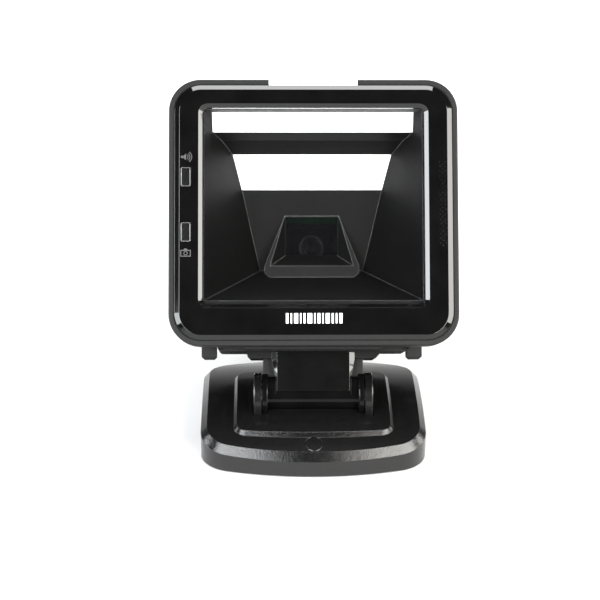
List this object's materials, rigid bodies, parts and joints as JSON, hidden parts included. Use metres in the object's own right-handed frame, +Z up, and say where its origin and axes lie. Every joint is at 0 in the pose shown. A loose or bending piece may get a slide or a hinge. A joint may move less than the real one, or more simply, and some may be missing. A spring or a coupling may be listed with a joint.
{
  "type": "hands-free desktop barcode scanner",
  "caption": "Square window head with a white-lit funnel and camera, on a short friction-hinged neck above a weighted, crowned foot; two travelling side keys.",
  "frame": {"origin": "centre of the foot's flat resting face", "axes": "+X to the viewer's right, -Y towards the viewer, +Z up"},
  "size_m": [0.15, 0.144, 0.1827],
  "materials": {
    "gloss_black": "gloss moulded",
    "satin_black": "fine moulded texture",
    "funnel_black": "dull moulded",
    "soft_rubber": "dull",
    "steel": "plain zinc",
    "ballast": "as cast",
    "diffuser_white": "translucent milky",
    "clear_window": "clear",
    "dark_window": "smoked",
    "lens_glass": "coated",
    "lens_metal": "black anodised",
    "board_green": "solder mask",
    "chip_black": "moulded",
    "lamp": "clear lens",
    "foam": "closed-cell foam",
    "contact": "gold flash",
    "status_lens": "translucent milky"
  },
  "bodies": {
    "base": {"base_cover": "gloss_black", "screw_cover_cap": "gloss_black", "cap_screw": "steel", "base_plate": "steel", "base_pad": "soft_rubber", "base_weight": "ballast", "base_screws": "steel", "left_hinge_ear": "gloss_black", "right_hinge_ear": "gloss_black", "ear_screws": "steel", "hinge_shaft": "steel", "hinge_spring_washers": "steel", "hinge_nuts": "steel", "hinge_end_caps": "satin_black", "friction_washers": "steel"},
    "head": {"arm_frame": "gloss_black", "arm_front_cover": "gloss_black", "arm_rear_cover": "satin_black", "arm_screws": "steel", "arm_bolts": "steel", "neck_plate": "satin_black", "neck_plate_screws": "steel", "rear_housing": "satin_black", "front_bezel": "gloss_black", "window_pane": "clear_window", "window_gasket": "foam", "light_baffle": "funnel_black", "strip_diffuser": "diffuser_white", "panel_diffuser": "diffuser_white", "camera_window": "dark_window", "lens_barrel": "lens_metal", "lens_glass": "lens_glass", "lens_holder": "satin_black", "camera_board": "board_green", "image_sensor": "chip_black", "strip_led_board": "board_green", "strip_leds": "lamp", "panel_led_board": "board_green", "panel_leds": "lamp", "main_board": "board_green", "main_board_screws": "steel", "board_chips": "chip_black", "speaker": "satin_black", "status_light_bar": "status_lens", "status_led_board": "board_green", "status_leds": "lamp", "key_board": "board_green", "key_switches": "chip_black", "cable_socket": "satin_black", "socket_contacts": "contact", "head_feet": "soft_rubber", "housing_screws": "steel"},
    "volume_key": {"volume_key": "satin_black"},
    "camera_key": {"camera_key": "satin_black"}
  },
  "joints": [
    {"name": "head_tilt", "type": "hinge", "parent": "base", "child": "head", "pos_m": [0, -0.014, 0.027], "axis": [1, 0, 0], "range_deg": [-10, 35]},
    {"name": "volume_key_press", "type": "slide", "parent": "head", "child": "volume_key", "axis": [0, 0.866, -0.5], "range_m": [0, 0.0006], "stiffness_N_per_m": 3000},
    {"name": "camera_key_press", "type": "slide", "parent": "head", "child": "camera_key", "axis": [0, 0.866, -0.5], "range_m": [0, 0.0006], "stiffness_N_per_m": 3000}
  ]
}
